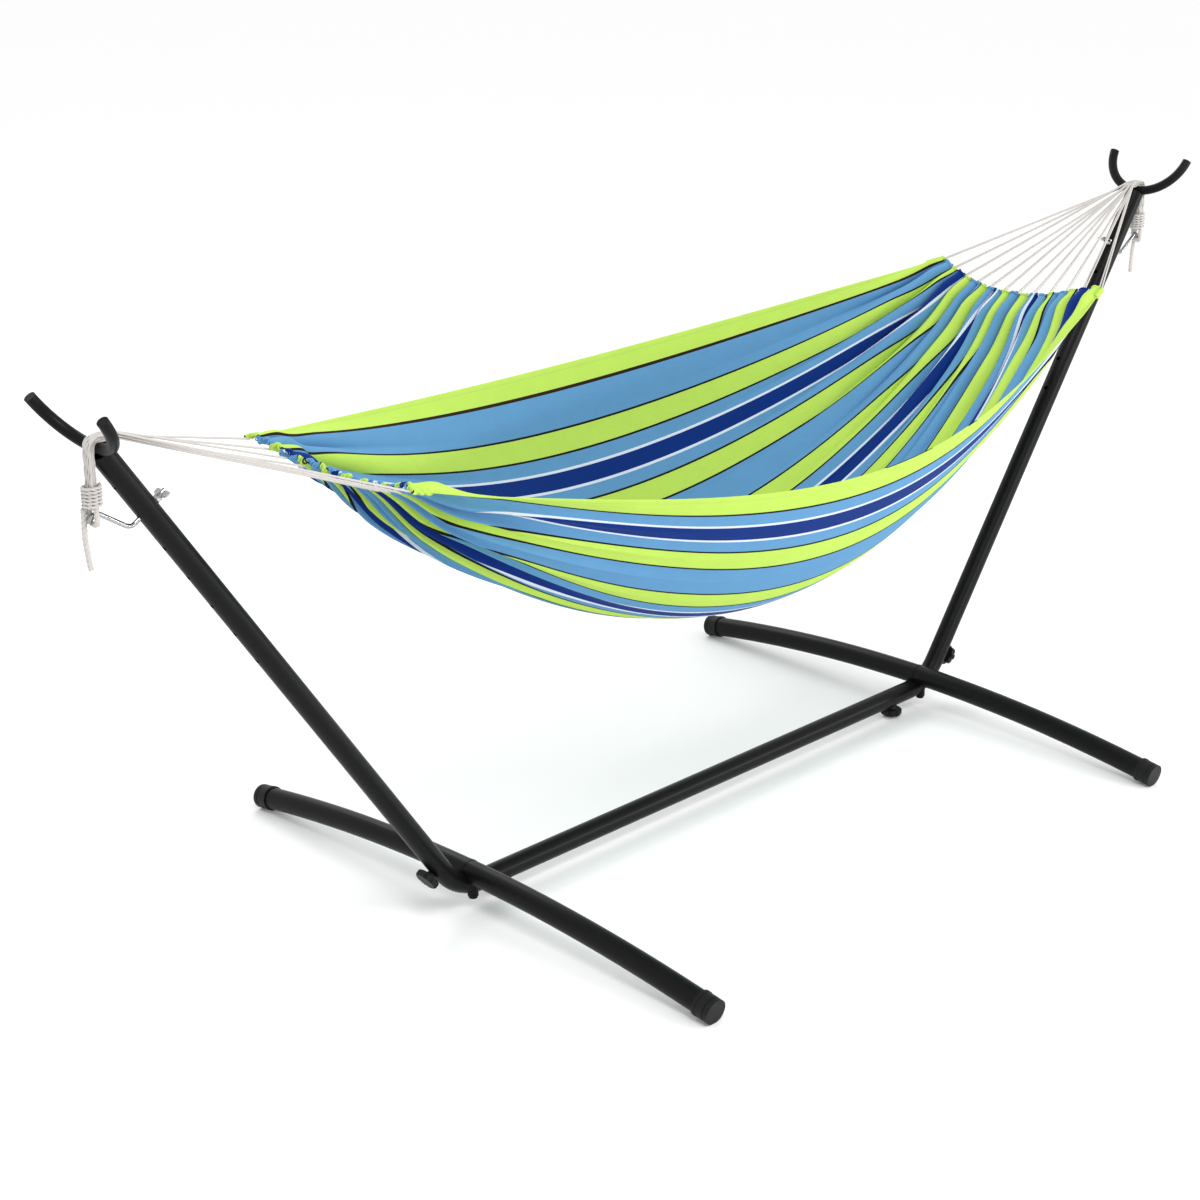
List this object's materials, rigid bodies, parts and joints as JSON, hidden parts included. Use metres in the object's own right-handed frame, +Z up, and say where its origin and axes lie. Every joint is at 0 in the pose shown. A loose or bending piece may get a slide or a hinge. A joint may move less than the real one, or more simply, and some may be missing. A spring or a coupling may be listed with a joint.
{
  "type": "hammock on stand",
  "caption": "Striped cloth hammock hung by fans of cord from two sloping arms of a tubular steel stand on arched legs.",
  "frame": {"origin": "on the floor, at the middle of the stand", "axes": "+X along the hammock to its far end, +Y across it to its left side, +Z up"},
  "size_m": [2.8208, 1.19, 1.0808],
  "materials": {
    "black_steel": "satin black powder coat",
    "zinc_steel": "bright zinc plating",
    "chrome_steel": "polished chrome plating",
    "black_plastic": "moulded, fine texture",
    "striped_cloth": "woven cotton in lime, blue and white stripes with dark lines",
    "white_cord": "twisted cotton cord"
  },
  "bodies": {
    "stand": {"arm_tube_far": "black_steel", "arm_tube_near": "black_steel", "beam_tube": "black_steel", "bend_tube_far": "black_steel", "bend_tube_near": "black_steel", "knob_weld_nuts": "zinc_steel", "leg_bolts": "black_steel", "leg_end_caps": "black_plastic", "leg_saddle_washers": "black_steel", "leg_tube_left_far": "black_steel", "leg_tube_left_near": "black_steel", "leg_tube_right_far": "black_steel", "leg_tube_right_near": "black_steel", "leg_weld_nuts": "zinc_steel", "rope_bundle_far": "white_cord", "rope_bundle_near": "white_cord", "rope_eye_far": "white_cord", "rope_eye_near": "white_cord", "rope_hook_far": "chrome_steel", "rope_hook_jam_nuts": "zinc_steel", "rope_hook_near": "chrome_steel", "rope_tail_far": "white_cord", "rope_tail_near": "white_cord", "saddle_hook_far": "black_steel", "saddle_hook_near": "black_steel", "whipping_far": "white_cord", "whipping_near": "white_cord"},
    "hammock": {"bed_fabric": "striped_cloth", "end_band_far": "white_cord", "end_band_near": "white_cord", "fan_cord_far_01": "white_cord", "fan_cord_far_02": "white_cord", "fan_cord_far_03": "white_cord", "fan_cord_far_04": "white_cord", "fan_cord_far_05": "white_cord", "fan_cord_far_06": "white_cord", "fan_cord_far_07": "white_cord", "fan_cord_far_08": "white_cord", "fan_cord_far_09": "white_cord", "fan_cord_far_10": "white_cord", "fan_cord_far_11": "white_cord", "fan_cord_far_12": "white_cord", "fan_cord_near_01": "white_cord", "fan_cord_near_02": "white_cord", "fan_cord_near_03": "white_cord", "fan_cord_near_04": "white_cord", "fan_cord_near_05": "white_cord", "fan_cord_near_06": "white_cord", "fan_cord_near_07": "white_cord", "fan_cord_near_08": "white_cord", "fan_cord_near_09": "white_cord", "fan_cord_near_10": "white_cord", "fan_cord_near_11": "white_cord", "fan_cord_near_12": "white_cord"},
    "beam_knob_near": {"beam_knob_near": "black_plastic"},
    "arm_knob_near": {"arm_knob_near": "black_plastic"},
    "wing_nut_near": {"wing_nut_near": "chrome_steel"},
    "beam_knob_far": {"beam_knob_far": "black_plastic"},
    "arm_knob_far": {"arm_knob_far": "black_plastic"},
    "wing_nut_far": {"wing_nut_far": "chrome_steel"}
  },
  "joints": [
    {"name": "hammock_swing", "type": "hinge", "parent": "stand", "child": "hammock", "pos_m": [0, 0, 1.02211], "axis": [1, 0, 0], "range_deg": [-25, 25]},
    {"name": "beam_knob_near_turn", "type": "hinge", "parent": "stand", "child": "beam_knob_near", "pos_m": [-0.562, 0, 0.01748], "axis": [0, 0, -1], "range_deg": [0, 1080]},
    {"name": "arm_knob_near_turn", "type": "hinge", "parent": "stand", "child": "arm_knob_near", "pos_m": [-0.73939, 0, 0.09181], "axis": [-0.8171, 0, -0.5764], "range_deg": [0, 1080]},
    {"name": "wing_nut_near_turn", "type": "hinge", "parent": "stand", "child": "wing_nut_near", "pos_m": [-1.25176, 0, 0.91009], "axis": [0.8171, 0, 0.5764], "range_deg": [0, 1080]},
    {"name": "beam_knob_far_turn", "type": "hinge", "parent": "stand", "child": "beam_knob_far", "pos_m": [0.562, 0, 0.01748], "axis": [0, 0, -1], "range_deg": [0, 1080]},
    {"name": "arm_knob_far_turn", "type": "hinge", "parent": "stand", "child": "arm_knob_far", "pos_m": [0.73939, 0, 0.09181], "axis": [0.8171, 0, -0.5764], "range_deg": [0, 1080]},
    {"name": "wing_nut_far_turn", "type": "hinge", "parent": "stand", "child": "wing_nut_far", "pos_m": [1.25176, 0, 0.91009], "axis": [-0.8171, 0, 0.5764], "range_deg": [0, 1080]}
  ]
}
